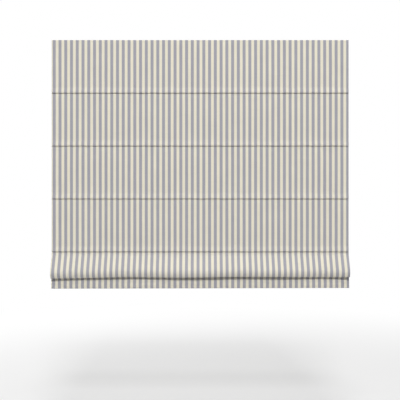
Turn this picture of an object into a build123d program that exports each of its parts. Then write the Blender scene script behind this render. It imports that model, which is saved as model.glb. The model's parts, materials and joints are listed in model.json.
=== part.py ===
from build123d import *
from math import acos, copysign, cos, degrees, radians, sin
import os

# A roman blind, in millimetres. X runs along the rail, -Y faces the room and +Z is up.
# The origin lies on the fixing plane, midway between the two brackets' top holes.

# Face cloth and lining
blind_width = 1200.0
top_panel_drop = 215.0
panel_pitch = 213.6
flat_seam_count = 4
cloth_thickness = 0.9
lining_thickness = 0.5
lining_gap = 0.3
side_hem_width = 22.0

# Crease at each seam, where a rod tape is stitched through the cloth
crease_depth = 2.5
crease_valley_radius = 1.0
crease_lip_radius = 3.5

# Pleat gathered under the lowest flat seam, and the skirt below it
pleat_reach = 32.5
pleat_swell_drop = 82.0
pleat_shoulder_radius = 18.0
pleat_shoulder_deg = 45.0
pleat_toe_radius = 6.0
pleat_return_lean_deg = 15.8
gather_radius = 1.1
skirt_lean_deg = 10.0
skirt_length = 133.5
hem_turn_up = 42.0

# Rods, their pocket tapes, caps and cord rings
rod_radius = 2.0
rod_inset = 14.0
rod_cap_wall = 0.6
rod_cap_grip = 8.0
rod_cap_end = 2.0
rod_cap_clearance = 0.03
rod_cap_flats = 8
tape_thickness = 0.5
tape_inset = 8.0
tape_above_seam = 9.0
tape_below_seam = 3.5
tape_gap = 0.2
tunnel_clearance = 0.2
gathered_rod_drop = 14.0
ring_radius = 6.0
ring_hole_radius = 4.2
ring_thickness = 1.6
ring_facets = 16
ring_gap = 0.1

# Bottom bar in the hem
bar_thickness = 3.0
bar_height = 28.0
bar_corner = 1.2
bar_inset = 9.0
bar_clearance = 0.4
bar_cap_end = 3.0
bar_cap_lip = 0.3

# Headrail extrusion
rail_depth = 32.0
rail_height = 36.0
rail_wall = 1.5
rail_corner = 1.2
rail_setback = 1.0
slot_height = 4.5
slot_mouth = 20.0
chamber_mouth = 20.0
hook_tape_thickness = 1.2
loop_tape_thickness = 1.0
fastening_tape_height = 20.0
fastening_tape_drop = 7.0
fastening_tape_inset = 30.0

# End caps
cap_plate = 2.5
spigot_length = 12.0
spigot_corner = 1.0
spigot_wall = 2.0
cap_bearing_wall = 2.5
rail_fit = 0.2

# Brackets
bracket_inset = 150.0
bracket_width = 30.0
bracket_thickness = 1.6
bracket_front = 13.0
bracket_rear_gap = 3.0
bracket_bend = 0.6
bracket_hole_radius = 2.5
hook_clearance = 0.15
hook_foot = 3.0

# Lift shaft and spools
lift_inset = 120.0
shaft_flats = 6.0
shaft_float = 0.5
shaft_journal_length = 9.0
socket_clearance = 0.1
running_clearance = 0.08
spool_drum_radius = 8.0
spool_drum_length = 30.0
spool_ramp = 4.0
spool_flange_radius = 11.0
spool_flange = 1.5
spool_journal_radius = 6.0
spool_journal_length = 4.0
spool_side_float = 0.4

# Spool cradles
cradle_base = 1.5
cradle_wall = 3.0
cradle_rise = 7.0
cradle_rail_height = 6.0
cord_slot_length = 22.0
cord_slot_width = 4.0

# Spring unit
spring_case_length = 26.0
spring_case_wall = 2.5
spring_cavity_radius = 12.0
spring_arbor_radius = 4.8
spring_thickness = 0.4
spring_width = 18.0
spring_half_turns = 6
spring_end_gap = 0.25

# Drag brake
brake_case_length = 22.0
brake_case_wall = 2.5
brake_cavity_radius = 11.0
brake_hub_radius = 7.0
brake_band = 1.2
brake_band_width = 12.0
brake_mouth_deg = 50.0
brake_tang_width = 2.0
brake_bearing_radius = 5.0

# A cut passes this far through what it opens
overrun = 1.0

# Levels and depths that follow from those sizes
rail_top = -bracket_thickness
rail_middle = rail_top - rail_height / 2
slot_top = rail_top - rail_wall
slot_middle = slot_top - slot_height / 2
chamber_top = slot_top - slot_height - rail_wall
chamber_bottom = rail_top - rail_height + rail_wall
chamber_height = chamber_top - chamber_bottom
chamber_width = rail_depth - 2 * rail_wall
shaft_level = (chamber_top + chamber_bottom) / 2
rail_length = blind_width - 2 * (rail_setback + cap_plate)
cloth_top = rail_top
lining_front = cloth_thickness + lining_gap
lining_back = lining_front + lining_thickness
hem_back = 2 * cloth_thickness
tape_front = max(lining_back, hem_back) + tape_gap
valley_front = -(rail_depth / 2 + hook_tape_thickness + loop_tape_thickness + lining_back)
panel_front = valley_front - crease_depth
hem_inner_radius = bar_thickness / 2 + bar_clearance
hem_radius = hem_inner_radius + cloth_thickness
bracket_place = blind_width / 2 - bracket_inset
lift_place = blind_width / 2 - lift_inset
lift_places = [-lift_place, 0, lift_place]
spring_place = -lift_place / 2
brake_place = lift_place / 2


def straight(length):
    """A straight stretch of a cloth run."""
    return (length, 0, 0)


def bend(radius, turn):
    """A bend in a cloth run, in degrees: towards the back of a downward run if positive."""
    return (0, radius, turn)


# The cloth's front outline, from the top down: flat panels with a crease at each seam
crease_deg = degrees(acos(1 - crease_depth / (crease_valley_radius + crease_lip_radius)))
crease_half_height = (crease_valley_radius + crease_lip_radius) * sin(radians(crease_deg))
into_crease = [bend(crease_lip_radius, crease_deg), bend(crease_valley_radius, -crease_deg)]
out_of_crease = [bend(crease_valley_radius, -crease_deg), bend(crease_lip_radius, crease_deg)]
flat_run = [straight(top_panel_drop - crease_half_height)] + into_crease
for seam in range(1, flat_seam_count):
    flat_run += out_of_crease + [straight(panel_pitch - 2 * crease_half_height)] + into_crease
flat_drop = top_panel_drop + (flat_seam_count - 1) * panel_pitch

# The pleat swells forward, turns under, goes back up to the gathered rod and drops as the skirt
swell_deg = 2 * degrees(acos(pleat_swell_drop / (pleat_swell_drop**2 + pleat_reach**2) ** 0.5))
swell_radius = pleat_swell_drop / (2 * sin(radians(swell_deg)))
toe_deg = 180 - pleat_return_lean_deg - pleat_shoulder_deg
gather_deg = 180 - pleat_return_lean_deg + skirt_lean_deg
pleat_bends = out_of_crease + [
    bend(swell_radius, -swell_deg),
    bend(swell_radius, swell_deg),
    bend(pleat_shoulder_radius, pleat_shoulder_deg),
    bend(pleat_toe_radius, toe_deg),
]
gather_bend = bend(gather_radius, -gather_deg)
used_length = sum(radius * radians(abs(turn)) for length, radius, turn in pleat_bends)
return_length = panel_pitch - used_length - gather_radius * radians(gather_deg) / 2
gather_run = pleat_bends + [straight(return_length), gather_bend]
skirt_above_hem = skirt_length - hem_turn_up - cloth_thickness
lined_run = gather_run + [straight(skirt_above_hem)]
hem_run = [straight(skirt_length - skirt_above_hem), bend(hem_radius, 180), straight(hem_turn_up)]
face_run = flat_run + lined_run + hem_run
lining_run = [straight(flat_drop)] + lined_run


def walk(run, start):
    """The point that a run reaches on its front outline, going straight down from its start."""
    tip = Vector(start)
    heading = Vector(0, -1)
    for length, radius, turn in run:
        side = heading.rotate(Axis.Z, copysign(90, turn)) * radius
        tip = tip + heading * length + side - side.rotate(Axis.Z, turn)
        heading = heading.rotate(Axis.Z, turn)
    return tip


def draw_run(run, start_front, start_level, depth):
    """Draw a cloth run at a depth behind its front outline, and return its two ends."""
    first = Vector(start_front + depth, start_level)
    tip = first
    heading = Vector(0, -1)
    for length, radius, turn in run:
        if turn:
            edge = JernArc(tip, heading, radius - copysign(depth, turn), turn)
        else:
            edge = Line(tip, tip + heading * length)
        tip = edge @ 1
        heading = edge % 1
    return first, tip


def draw_sheet(front, back):
    """Draw the closed section between two cloth runs, each a run, start, level and depth."""
    front_first, front_last = draw_run(*front)
    back_first, back_last = draw_run(*back)
    Line(front_first, back_first)
    Line(front_last, back_last)


def save(piece, name):
    """Label a finished piece and write it to its own file."""
    piece.part.label = name
    export_step(piece.part, f"parts/{name}.step")


os.makedirs("parts", exist_ok=True)

# Face cloth: one length, turned in at the top and at both sides, hemmed round the bottom bar
with BuildPart() as face_cloth:
    with BuildSketch(Plane.YZ):
        with BuildLine():
            draw_sheet(
                (face_run, panel_front, cloth_top, 0),
                (face_run, panel_front, cloth_top, cloth_thickness),
            )
        make_face()
    extrude(amount=blind_width / 2, both=True)
    with BuildSketch(Plane.YZ):
        with Locations((panel_front, cloth_top)):
            Rectangle(crease_depth + hem_back, cloth_thickness, align=(Align.MIN, Align.MAX))
    extrude(amount=blind_width / 2, both=True)
    for side in (-1, 1):
        with BuildSketch(Plane.YZ.offset(side * blind_width / 2)):
            with BuildLine():
                draw_sheet(
                    (flat_run + lined_run, panel_front, cloth_top, 0),
                    (lining_run, valley_front, cloth_top, hem_back),
                )
            make_face()
        extrude(amount=-side * cloth_thickness)
        with BuildSketch(Plane.YZ.offset(side * blind_width / 2)):
            with BuildLine():
                draw_sheet(
                    (lining_run, valley_front, cloth_top, cloth_thickness),
                    (lining_run, valley_front, cloth_top, hem_back),
                )
            make_face()
        extrude(amount=-side * side_hem_width)
save(face_cloth, "face_cloth")

# Lining: one plain length between the side hems, under the top turn-in
lining_top = cloth_top - cloth_thickness - lining_gap
lining_drop = [straight(flat_drop - cloth_thickness - lining_gap)] + lined_run
with BuildPart() as lining:
    with BuildSketch(Plane.YZ):
        with BuildLine():
            draw_sheet(
                (lining_drop, valley_front, lining_top, lining_front),
                (lining_drop, valley_front, lining_top, lining_back),
            )
        make_face()
    extrude(amount=blind_width / 2 - side_hem_width - lining_gap, both=True)
save(lining, "lining")

# Rods: four hang on the flat seams and the fifth is gathered at the head of the skirt
seam_points = [
    (valley_front, cloth_top - top_panel_drop - seam * panel_pitch) for seam in range(flat_seam_count)
]
skirt_head = walk(gather_run, seam_points[-1])
skirt_lean = radians(skirt_lean_deg)
skirt_down = Vector(-sin(skirt_lean), -cos(skirt_lean))
gathered_point = skirt_head + skirt_down * gathered_rod_drop
rod_seats = [(point, 0) for point in seam_points] + [((gathered_point.X, gathered_point.Y), skirt_lean)]
tunnel_inner = rod_radius + rod_cap_wall + tunnel_clearance
tunnel_outer = tunnel_inner + tape_thickness
rod_depth = tape_front + tunnel_outer
ring_depth = rod_depth + tunnel_outer + ring_gap + ring_radius
rod_half = blind_width / 2 - rod_inset - rod_cap_end


def make_rod_set(number, point, lean):
    """Make one rod with its two caps, its pocket tape and its cord rings, and save each."""
    back = Vector(0, cos(lean), -sin(lean))
    up = Vector(0, sin(lean), cos(lean))
    origin = Vector(0, *point)
    seat = Plane(origin, x_dir=back, z_dir=(1, 0, 0))

    with BuildPart() as rod:
        with BuildSketch(seat):
            with Locations((rod_depth, 0)):
                Circle(rod_radius)
        extrude(amount=rod_half, both=True)
    save(rod, f"rod_{number}")

    with BuildPart() as caps:
        for side in (-1, 1):
            grip = seat.offset(side * (rod_half - rod_cap_grip))
            with BuildSketch(grip):
                with Locations((rod_depth, 0)):
                    RegularPolygon(rod_radius + rod_cap_wall, side_count=rod_cap_flats)
            extrude(amount=side * (rod_cap_grip + rod_cap_end))
            with BuildSketch(grip):
                with Locations((rod_depth, 0)):
                    Circle(rod_radius + rod_cap_clearance)
            extrude(amount=side * rod_cap_grip, mode=Mode.SUBTRACT)
    save(caps, f"rod_{number}_caps")

    with BuildPart() as tape:
        with BuildSketch(seat):
            with Locations((tape_front, tape_above_seam)):
                Rectangle(
                    tape_thickness, tape_above_seam + tape_below_seam, align=(Align.MIN, Align.MAX)
                )
            with Locations((rod_depth, 0)):
                Circle(tunnel_outer)
                Circle(tunnel_inner, mode=Mode.SUBTRACT)
        extrude(amount=blind_width / 2 - tape_inset, both=True)
    save(tape, f"rod_{number}_tape")

    with BuildPart() as rings:
        with BuildSketch(Plane(origin + back * ring_depth, x_dir=(1, 0, 0), z_dir=up)):
            with Locations(*[(place, 0) for place in lift_places]):
                RegularPolygon(ring_radius, side_count=ring_facets)
                RegularPolygon(ring_hole_radius, side_count=ring_facets, mode=Mode.SUBTRACT)
        extrude(amount=ring_thickness / 2, both=True)
    save(rings, f"rod_{number}_rings")


for number, (point, lean) in enumerate(rod_seats, start=1):
    make_rod_set(number, point, lean)

# Bottom bar: it lies on the bottom of the hem, with a moulded cap pushed on each end
hem_point = skirt_head + skirt_down * skirt_length
hem_plane = Plane(
    Vector(0, hem_point.X, hem_point.Y),
    x_dir=(0, cos(skirt_lean), -sin(skirt_lean)),
    z_dir=(1, 0, 0),
)
bar_half = blind_width / 2 - bar_inset - bar_cap_end
with BuildPart() as bottom_bar:
    with BuildSketch(hem_plane):
        with Locations((hem_radius, bar_height / 2 - bar_thickness / 2)):
            RectangleRounded(bar_thickness, bar_height, bar_corner)
    extrude(amount=bar_half, both=True)
save(bottom_bar, "bottom_bar")

with BuildPart() as bottom_bar_caps:
    for side in (-1, 1):
        with BuildSketch(hem_plane.offset(side * bar_half)):
            with Locations((hem_radius, bar_height / 2 - bar_thickness / 2)):
                RectangleRounded(bar_thickness + bar_cap_lip, bar_height + bar_cap_lip, bar_corner)
        extrude(amount=side * bar_cap_end)
save(bottom_bar_caps, "bottom_bar_caps")

# Headrail: a slot on top for the brackets, and a chamber below for the lift, open at the bottom
with BuildPart() as headrail:
    with BuildSketch(Plane.YZ):
        with Locations((0, rail_middle)):
            RectangleRounded(rail_depth, rail_height, rail_corner)
        with Locations((0, slot_middle)):
            Rectangle(chamber_width, slot_height, mode=Mode.SUBTRACT)
        with Locations((0, slot_middle)):
            Rectangle(
                slot_mouth, rail_wall + slot_height, align=(Align.CENTER, Align.MIN), mode=Mode.SUBTRACT
            )
        with Locations((0, shaft_level)):
            Rectangle(chamber_width, chamber_height, mode=Mode.SUBTRACT)
        with Locations((0, shaft_level)):
            Rectangle(
                chamber_mouth, chamber_height, align=(Align.CENTER, Align.MAX), mode=Mode.SUBTRACT
            )
    extrude(amount=rail_length / 2, both=True)
save(headrail, "headrail")


# End caps: a plate of the rail's outline, a hollow spigot in the chamber and a bearing for the shaft
def make_end_cap(side, name):
    seat = Plane((side * rail_length / 2, 0, shaft_level), x_dir=(0, 1, 0), z_dir=(side, 0, 0))
    spigot_width = chamber_width - 2 * rail_fit
    spigot_height = chamber_height - 2 * rail_fit
    bearing_radius = shaft_flats / 2 + running_clearance
    with BuildPart() as cap:
        with BuildSketch(seat):
            with Locations((0, side * (rail_middle - shaft_level))):
                RectangleRounded(rail_depth, rail_height, rail_corner)
        extrude(amount=cap_plate)
        with BuildSketch(seat):
            RectangleRounded(spigot_width, spigot_height, spigot_corner)
            offset(amount=-spigot_wall, mode=Mode.SUBTRACT)
            Circle(bearing_radius + cap_bearing_wall)
            Circle(bearing_radius, mode=Mode.SUBTRACT)
        extrude(amount=-spigot_length)
    save(cap, name)


make_end_cap(-1, "end_cap_left")
make_end_cap(1, "end_cap_right")

# Hook tape on the rail's front and loop tape behind the cloth
tape_middle = rail_top - fastening_tape_drop - fastening_tape_height / 2
tape_half = blind_width / 2 - fastening_tape_inset
with BuildPart() as hook_tape:
    with BuildSketch(Plane.YZ):
        with Locations((-rail_depth / 2, tape_middle)):
            Rectangle(hook_tape_thickness, fastening_tape_height, align=(Align.MAX, Align.CENTER))
    extrude(amount=tape_half, both=True)
save(hook_tape, "hook_tape")

with BuildPart() as loop_tape:
    with BuildSketch(Plane.YZ):
        with Locations((-rail_depth / 2 - hook_tape_thickness, tape_middle)):
            Rectangle(loop_tape_thickness, fastening_tape_height, align=(Align.MAX, Align.CENTER))
    extrude(amount=tape_half, both=True)
save(loop_tape, "loop_tape")


# Brackets: slices of one extrusion whose two hooks slide into the rail's slot
def make_bracket(place, name):
    hook_side = slot_mouth / 2 - hook_clearance
    foot_top = slot_top - hook_clearance
    rear_inner = rail_depth / 2 + bracket_rear_gap
    with BuildPart() as bracket:
        with BuildSketch(Plane.YZ.offset(place)) as section:
            with Locations((-bracket_front, 0)):
                Rectangle(
                    bracket_front + rear_inner + bracket_thickness,
                    bracket_thickness,
                    align=(Align.MIN, Align.MAX),
                )
            with Locations((rear_inner, 0)):
                Rectangle(
                    bracket_thickness, rail_height + bracket_thickness, align=(Align.MIN, Align.MAX)
                )
            for side in (-1, 1):
                hook_align = Align.MAX if side > 0 else Align.MIN
                foot_align = Align.MIN if side > 0 else Align.MAX
                with Locations((side * hook_side, 0)):
                    Rectangle(
                        bracket_thickness,
                        bracket_thickness - foot_top,
                        align=(hook_align, Align.MAX),
                    )
                with Locations((side * (hook_side - bracket_thickness), foot_top)):
                    Rectangle(
                        bracket_thickness + hook_foot, bracket_thickness, align=(foot_align, Align.MAX)
                    )
            outer_bend = section.vertices().group_by(Axis.Z)[-1].sort_by(Axis.Y)[-1]
            fillet(outer_bend, bracket_bend)
        extrude(amount=bracket_width / 2, both=True)
        with Locations((place, 0, 0)):
            Hole(bracket_hole_radius, depth=bracket_thickness)
        with Locations(Plane((place, rear_inner + bracket_thickness, rail_middle), z_dir=(0, 1, 0))):
            Hole(bracket_hole_radius, depth=bracket_thickness)
    save(bracket, name)


make_bracket(-bracket_place, "bracket_left")
make_bracket(bracket_place, "bracket_right")

# Lift shaft: hexagonal, with round journals that turn in the end caps
shaft_half = rail_length / 2 - spigot_length - shaft_float
socket_flats = shaft_flats + 2 * socket_clearance


def shaft_plane(place):
    """A plane across the shaft, with its origin on the shaft's axis."""
    return Plane((place, 0, shaft_level), x_dir=(0, 1, 0), z_dir=(1, 0, 0))


with BuildPart() as lift_shaft:
    with BuildSketch(shaft_plane(0)):
        RegularPolygon(shaft_flats / 2, side_count=6, major_radius=False)
    extrude(amount=shaft_half, both=True)
    with BuildSketch(shaft_plane(0)):
        Circle(shaft_flats / 2)
    extrude(amount=shaft_half + shaft_journal_length, both=True)
save(lift_shaft, "lift_shaft")

# Spools: a waisted drum between two flanges, with a journal at each end and a hexagonal socket
drum_end = spool_drum_length / 2
flange_end = drum_end + spool_flange
journal_end = flange_end + spool_journal_length


def make_spool(place, name):
    lengthwise = Plane((place, 0, shaft_level), x_dir=(1, 0, 0), z_dir=(0, -1, 0))
    with BuildPart() as spool:
        with BuildSketch(lengthwise):
            with BuildLine():
                right_side = Polyline(
                    (0, spool_drum_radius),
                    (drum_end - spool_ramp, spool_drum_radius),
                    (drum_end, spool_flange_radius),
                    (flange_end, spool_flange_radius),
                    (flange_end, spool_journal_radius),
                    (journal_end, spool_journal_radius),
                    (journal_end, 0),
                )
                mirror(about=Plane.YZ)
                Line((-journal_end, 0), (journal_end, 0))
            make_face()
        revolve(axis=Axis((place, 0, shaft_level), (1, 0, 0)))
        with BuildSketch(shaft_plane(place)):
            RegularPolygon(socket_flats / 2, side_count=6, major_radius=False)
        extrude(amount=journal_end, both=True, mode=Mode.SUBTRACT)
    save(spool, name)


# Cradles: a base on the rail's lower lips, two forked walls for the journals and a slot for the cord
cradle_width = chamber_width - 2 * rail_fit
wall_inner = flange_end + spool_side_float
wall_outer = wall_inner + cradle_wall
chamber_half = chamber_height / 2


def make_cradle(place, name):
    bearing_radius = spool_journal_radius + running_clearance
    with BuildPart() as cradle:
        with BuildSketch(Plane((place, 0, chamber_bottom))):
            Rectangle(2 * wall_outer, cradle_width)
            with Locations((0, -spool_drum_radius)):
                SlotOverall(cord_slot_length, cord_slot_width, mode=Mode.SUBTRACT)
        extrude(amount=cradle_base)
        for side in (-1, 1):
            with BuildSketch(Plane((place, side * cradle_width / 2, chamber_bottom))):
                rail_align = Align.MAX if side > 0 else Align.MIN
                Rectangle(2 * wall_outer, cradle_base, align=(Align.CENTER, rail_align))
            extrude(amount=cradle_rail_height)
            with BuildSketch(shaft_plane(place + side * wall_inner)):
                with Locations((0, -chamber_half)):
                    Rectangle(
                        cradle_width, chamber_half + cradle_rise, align=(Align.CENTER, Align.MIN)
                    )
                Rectangle(
                    2 * bearing_radius,
                    cradle_rise,
                    align=(Align.CENTER, Align.MIN),
                    mode=Mode.SUBTRACT,
                )
                Circle(bearing_radius, mode=Mode.SUBTRACT)
            extrude(amount=side * cradle_wall)
    save(cradle, name)


for place, side_name in zip(lift_places, ("left", "centre", "right")):
    make_spool(place, f"spool_{side_name}")
    make_cradle(place, f"cradle_{side_name}")


# Unit cases: square blocks that fit the chamber, bored as a pot, with a plate on the open side
def make_case(place, length, wall, cavity_radius, bearing_radius, name):
    case_width = chamber_width - 2 * rail_fit
    case_height = chamber_height - 2 * rail_fit
    opening = bearing_radius + running_clearance
    with BuildPart() as case:
        with BuildSketch(shaft_plane(place - length / 2)):
            RectangleRounded(case_width, case_height, spigot_corner)
            Circle(opening, mode=Mode.SUBTRACT)
        extrude(amount=wall)
        with BuildSketch(shaft_plane(place - length / 2 + wall)):
            RectangleRounded(case_width, case_height, spigot_corner)
            Circle(cavity_radius, mode=Mode.SUBTRACT)
        extrude(amount=length - wall)
    save(case, f"{name}_case")
    with BuildPart() as cover:
        with BuildSketch(shaft_plane(place + length / 2)):
            RectangleRounded(case_width, case_height, spigot_corner)
            Circle(opening, mode=Mode.SUBTRACT)
        extrude(amount=wall)
    save(cover, f"{name}_cover")


# Spring unit: an arbor on the shaft and a flat spring coiled round it inside the case
make_case(
    spring_place,
    spring_case_length,
    spring_case_wall,
    spring_cavity_radius,
    spring_arbor_radius,
    "spring",
)
with BuildPart() as spring_arbor:
    with BuildSketch(shaft_plane(spring_place - spring_case_length / 2)):
        Circle(spring_arbor_radius)
        RegularPolygon(socket_flats / 2, side_count=6, major_radius=False, mode=Mode.SUBTRACT)
    extrude(amount=spring_case_length + spring_case_wall)
save(spring_arbor, "spring_arbor")

spring_inner = spring_arbor_radius + spring_end_gap
spring_outer = spring_cavity_radius - spring_end_gap - spring_thickness
spring_step = (spring_outer - spring_inner) / spring_half_turns
coil_bends = [bend(spring_inner + step * spring_step, 180) for step in range(spring_half_turns)]
with BuildPart() as lift_spring:
    with BuildSketch(shaft_plane(spring_place + spring_case_wall / 2)):
        with BuildLine():
            ends = []
            for face in (0, spring_thickness):
                tip = Vector(-spring_inner - face, 0)
                heading = Vector(0, -1)
                ends.append(tip)
                for length, radius, turn in coil_bends:
                    edge = JernArc(tip, heading, radius + face, turn)
                    tip = edge @ 1
                    heading = edge % 1
                ends.append(tip)
            Line(ends[0], ends[2])
            Line(ends[1], ends[3])
        make_face()
    extrude(amount=spring_width / 2, both=True)
save(lift_spring, "lift_spring")

# Drag brake: a split band grips the hub, and its tang stops in the case
make_case(
    brake_place,
    brake_case_length,
    brake_case_wall,
    brake_cavity_radius,
    brake_bearing_radius,
    "brake",
)
brake_inside = brake_case_length - brake_case_wall
brake_middle = brake_place + brake_case_wall / 2
with BuildPart() as brake_hub:
    with BuildSketch(shaft_plane(brake_place - brake_case_length / 2)):
        Circle(brake_bearing_radius)
    extrude(amount=brake_case_length + brake_case_wall)
    with BuildSketch(shaft_plane(brake_middle)):
        Circle(brake_hub_radius)
    extrude(amount=brake_inside / 2 - spool_side_float, both=True)
    with BuildSketch(shaft_plane(brake_middle)):
        RegularPolygon(socket_flats / 2, side_count=6, major_radius=False)
    extrude(amount=brake_case_length, both=True, mode=Mode.SUBTRACT)
save(brake_hub, "brake_hub")

band_inner = brake_hub_radius + running_clearance
with BuildPart() as brake_spring:
    with BuildSketch(shaft_plane(brake_middle)):
        with BuildLine():
            inner = CenterArc((0, 0), band_inner, 90 + brake_mouth_deg / 2, 360 - brake_mouth_deg)
            outer = CenterArc(
                (0, 0), band_inner + brake_band, 90 + brake_mouth_deg / 2, 360 - brake_mouth_deg
            )
            Line(inner @ 0, outer @ 0)
            Line(inner @ 1, outer @ 1)
        make_face()
        with Locations((0, -band_inner)):
            Rectangle(
                brake_tang_width,
                brake_cavity_radius - band_inner - rail_fit,
                align=(Align.CENTER, Align.MAX),
            )
    extrude(amount=brake_band_width / 2, both=True)
save(brake_spring, "brake_spring")
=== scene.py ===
"""A striped roman blind: its cloth, lining, tapes, rings and finishes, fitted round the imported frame."""

import json
from collections import namedtuple
from math import acos, atan2, ceil, copysign, cos, exp, pi, radians, sin, tan

import bpy
from bpy.props import FloatProperty, FloatVectorProperty, PointerProperty
from bpy.types import Operator, Panel, PropertyGroup
from mathutils import Matrix, Vector


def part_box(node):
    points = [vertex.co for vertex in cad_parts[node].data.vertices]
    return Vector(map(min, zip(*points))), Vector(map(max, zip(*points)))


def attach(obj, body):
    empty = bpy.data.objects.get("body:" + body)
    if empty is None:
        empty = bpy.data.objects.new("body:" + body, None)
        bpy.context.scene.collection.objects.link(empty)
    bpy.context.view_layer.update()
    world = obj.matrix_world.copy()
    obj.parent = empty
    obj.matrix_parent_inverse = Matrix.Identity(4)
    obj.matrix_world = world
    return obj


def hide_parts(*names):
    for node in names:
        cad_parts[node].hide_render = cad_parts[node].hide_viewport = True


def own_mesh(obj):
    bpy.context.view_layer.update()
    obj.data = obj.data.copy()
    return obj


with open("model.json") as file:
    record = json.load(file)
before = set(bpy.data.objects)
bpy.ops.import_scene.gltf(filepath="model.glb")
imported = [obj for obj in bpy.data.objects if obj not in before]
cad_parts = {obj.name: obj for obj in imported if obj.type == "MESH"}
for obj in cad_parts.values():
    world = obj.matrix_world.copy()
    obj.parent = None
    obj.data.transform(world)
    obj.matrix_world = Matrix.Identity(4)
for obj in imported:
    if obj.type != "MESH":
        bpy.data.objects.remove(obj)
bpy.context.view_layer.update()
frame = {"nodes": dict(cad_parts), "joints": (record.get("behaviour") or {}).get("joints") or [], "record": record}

bl_info = {
    "name": "Roman Blind",
    "version": (1, 0, 0),
    "blender": (4, 5, 0),
    "location": "View3D > Sidebar > Blind",
    "description": "Dresses a roman blind's frame in striped cloth, lining, tapes and finishes",
    "category": "Object",
}

# What the frame gives
FACE_LOW, FACE_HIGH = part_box("face_cloth")
BLIND_WIDTH = FACE_HIGH.x - FACE_LOW.x
CLOTH_TOP = FACE_HIGH.z
FLAT_SEAMS = (1, 2, 3, 4)
ROD_BODIES = {
    1: "upper_rod",
    2: "middle_rod",
    3: "lower_rod",
    4: "gathered_bottom",
    5: "gathered_bottom",
}
ROD_BOXES = {number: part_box(f"rod_{number}") for number in ROD_BODIES}
ROD_CENTRES = {number: (low + high) / 2 for number, (low, high) in ROD_BOXES.items()}
LIFT = next(joint for joint in frame["joints"] if joint["name"] == "bottom_lift")
FOLD_ANCHOR = LIFT["deforming_nodes"][0]["fixed_end_z_m"]
SEAM_LEVELS = [ROD_CENTRES[number].z for number in FLAT_SEAMS]
PANELS = list(zip([FOLD_ANCHOR] + SEAM_LEVELS, SEAM_LEVELS))

# How finely the cloth is divided, and where its shading breaks
ARC_STEP = radians(11)
LEAST_ARC_PARTS = 3
TURN_PARTS = 4
BAND_PARTS = 3
HEM_ROW_SHARE = 0.5
LINING_COLUMN_SHARE = 1.4
TAPE_COLUMN_STEP = 0.016
FLANGE_PARTS = 4
POCKET_PARTS = 18
SMOOTH_ANGLE = radians(42)
STRAIGHT_DOWN = 0.0

# Waves across the blind: size, radians a metre, and start, which grows with a panel's or a tape's number.
# A panel's waves are shares of its billow and lie about its slack
PANEL_SLACK = 0.55
PANEL_SWAY = ((0.3, 5.1, 1.7), (0.25, 11.3, -2.3))
PLEAT_SWAY = ((0.0016, 7.3, 0.9), (0.0011, 17.9, 2.2))
TAPE_WANDER = ((0.00012, 41.0, 1.0), (0.00008, 97.0, 2.0))

# The wave of the pleat's lower edge, in metres for each half turn across the blind
EDGE_WAVE = (0.00166, 0.00111, 0.00013, 0.001, 0.0008)

# Puckers beside a seam: wavelengths in metres with their starts, and how far they reach
RIPPLES = ((0.0213, 0.4), (0.0341, 1.9), (0.0537, 4.1))
RIPPLE_TURN = 2.4
PUCKER_REACH = 0.016
PUCKER_HOLD = 0.006
LINING_STAND_SHARE = 0.5

# How near the side hems the cloth hangs plain
EDGE_CALM = 0.05

# Scales the hem's bulge, rise times the square of what is left, to a peak of one
PEAK_OF_BULGE = 27 / 4

# A tape's solid part, the height of its row of stitches, and its pocket round the rod: how far it goes round,
# and where its foot lies behind the tape and above the rod, as shares of its heel
TAPE_BODY_SHARE = 0.9
TAPE_ROW_SHARE = 0.78
POCKET_TURN = radians(118)
POCKET_FOOT_SHARES = ((0.0, 3.4), (0.0, 1.6), (0.18, 0.8))

# A stitch's half height, half width and dive as shares of its thread's radius, and where its ends begin
STITCH_HEIGHT_SHARE = 1.1
STITCH_WIDTH_SHARE = 1.4
STITCH_DIVE_SHARE = 1.2
STITCH_END_SHARE = 0.4

# A cord ring's flatness, and the turns of thread that bind it
RING_FLAT_SHARE = 0.86
BINDING_SHARE = 1.32
BINDING_PITCH_SHARE = 2.6
BINDING_STRETCH = (1.0, 1.5, 0.8)

# A rod cap's mouth and rounded tip, and how square a face stands to its axis
CAP_MOUTH_SHARE = 0.9
CAP_TIP_SHARE = 0.55
CAP_END_SHARE = 0.95
CAP_SQUARE = 0.9

# Half the width over which one stripe runs into the next, as a share of their pitch
STRIPE_BLUR_SHARE = 0.022

# Lamps: bearing from the front towards the right, rise, distance in metres and size in metres
LAMPS = {
    "key_lamp": (radians(3), radians(42), 10.0, 2.4),
    "top_lamp": (radians(3), radians(70), 10.0, 2.4),
    "back_lamp": (radians(205), radians(11), 5.5, 2.4),
}
WHITE = (1.0, 1.0, 1.0, 1.0)

Station = namedtuple("Station", "y z heading path")


# Settings that a user would change
def metres(name, description, default):
    """A length."""
    return FloatProperty(name=name, description=description, default=default, unit="LENGTH")


def degrees(name, description, default):
    """An angle."""
    return FloatProperty(name=name, description=description, default=radians(default), subtype="ANGLE")


def watts(name, description, default):
    """A lamp's power."""
    return FloatProperty(name=name, description=description, default=default, unit="POWER")


def fraction(name, description, default):
    """A share of something."""
    return FloatProperty(name=name, description=description, default=default, subtype="FACTOR")


def amount(name, description, default):
    """A plain number."""
    return FloatProperty(name=name, description=description, default=default)


def hue(name, description, *default):
    """A colour."""
    return FloatVectorProperty(name=name, description=description, default=default, subtype="COLOR")


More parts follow.
